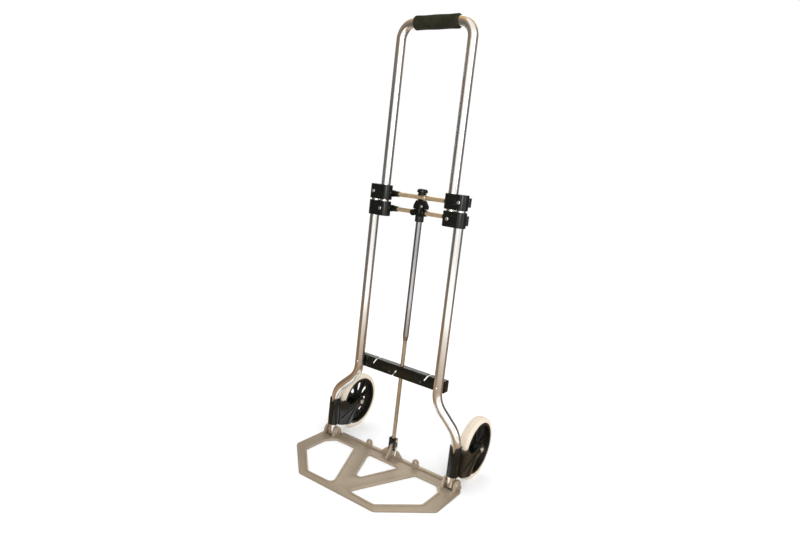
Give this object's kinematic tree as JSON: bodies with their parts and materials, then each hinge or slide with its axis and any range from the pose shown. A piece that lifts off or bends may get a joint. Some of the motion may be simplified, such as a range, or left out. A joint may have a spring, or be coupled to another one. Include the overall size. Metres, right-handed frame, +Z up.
{
  "type": "folding hand truck",
  "caption": "Folding luggage truck with a cast toe plate on hinges, swing-in rear wheels, a sliding U-shaped tube handle with a foam grip, and a push-button latch.",
  "frame": {"origin": "on the floor, under the middle of the toe plate's hinge axis", "axes": "+X to the user's right along the hinge axis, toe plate reaches towards -Y, wheels are on the +Y side, +Z up along the tubes"},
  "size_m": [0.4264, 0.376, 1.0775],
  "materials": {
    "tube_metal": "polished, drawn lengthwise",
    "cast_alloy": "satin cast, warm grey",
    "steel": "plated, semi-bright",
    "black_plastic": "moulded, fine grain",
    "grip_foam": "closed-cell foam, matt",
    "tyre": "cream solid rubber, matt"
  },
  "bodies": {
    "frame": {"frame_tube_left": "tube_metal", "frame_tube_right": "tube_metal", "tube_plug_left": "black_plastic", "tube_plug_right": "black_plastic", "crossbar": "black_plastic", "crossbar_rivets": "steel", "upper_clamp_left": "black_plastic", "upper_clamp_right": "black_plastic", "upper_clamp_rivets": "steel", "upper_cross_rod": "steel", "rod_collar": "steel", "latch_body": "black_plastic", "pawl_rivet": "steel"},
    "handle": {"handle_tube": "tube_metal", "grip": "grip_foam", "lower_slider_left": "black_plastic", "lower_slider_right": "black_plastic", "lower_slider_rivets": "steel", "lower_cross_rod_left": "steel", "lower_cross_rod_right": "steel", "lower_hub": "black_plastic"},
    "button": {"release_button": "black_plastic"},
    "pawl": {"latch_pawl": "black_plastic"},
    "strut": {"strut_tube": "tube_metal", "strut_rod": "steel", "clevis": "black_plastic", "clevis_pins": "steel"},
    "plate": {"toe_plate": "cast_alloy", "hinge_pins": "steel"},
    "left_bracket": {"wheel_bracket_left": "black_plastic", "axle_left": "steel"},
    "right_bracket": {"wheel_bracket_right": "black_plastic", "axle_right": "steel"},
    "left_wheel": {"tyre_left": "tyre", "wheel_hub_left": "black_plastic"},
    "right_wheel": {"tyre_right": "tyre", "wheel_hub_right": "black_plastic"}
  },
  "joints": [
    {"name": "handle_slide", "type": "slide", "parent": "frame", "child": "handle", "axis": [0, 0, -1], "range_m": [0, 0.33]},
    {"name": "plate_fold", "type": "hinge", "parent": "frame", "child": "plate", "pos_m": [0, 0, 0.015], "axis": [-1, 0, 0], "range_deg": [0, 75]},
    {"name": "left_bracket_swing", "type": "hinge", "parent": "frame", "child": "left_bracket", "pos_m": [-0.186, 0, 0.07], "axis": [0, 0, -1], "range_deg": [0, 75]},
    {"name": "right_bracket_swing", "type": "hinge", "parent": "frame", "child": "right_bracket", "pos_m": [0.186, 0, 0.07], "axis": [0, 0, 1], "range_deg": [0, 75]},
    {"name": "left_wheel_spin", "type": "hinge", "parent": "left_bracket", "child": "left_wheel", "pos_m": [-0.189, 0.096, 0.076], "axis": [1, 0, 0], "continuous": true},
    {"name": "right_wheel_spin", "type": "hinge", "parent": "right_bracket", "child": "right_wheel", "pos_m": [0.189, 0.096, 0.076], "axis": [1, 0, 0], "continuous": true},
    {"name": "strut_slide", "type": "slide", "parent": "frame", "child": "strut", "axis": [0, 0, -1], "range_m": [0, 0.0293]},
    {"name": "button_press", "type": "slide", "parent": "frame", "child": "button", "axis": [0, 0, -1], "range_m": [0, 0.004], "stiffness_N_per_m": 400, "springref_m": -0.003},
    {"name": "pawl_swing", "type": "hinge", "parent": "frame", "child": "pawl", "pos_m": [0.0102, 0.0065, 0.6485], "axis": [0, -1, 0], "range_deg": [0, 20.5]}
  ],
  "couplings": [
    {"joint": "left_bracket_swing", "follows": "plate_fold", "ratio": 1},
    {"joint": "right_bracket_swing", "follows": "plate_fold", "ratio": 1},
    {"joint": "strut_slide", "follows": "plate_fold", "m_per_rad": 0.02231},
    {"joint": "pawl_swing", "follows": "button_press", "rad_per_m": 87}
  ]
}
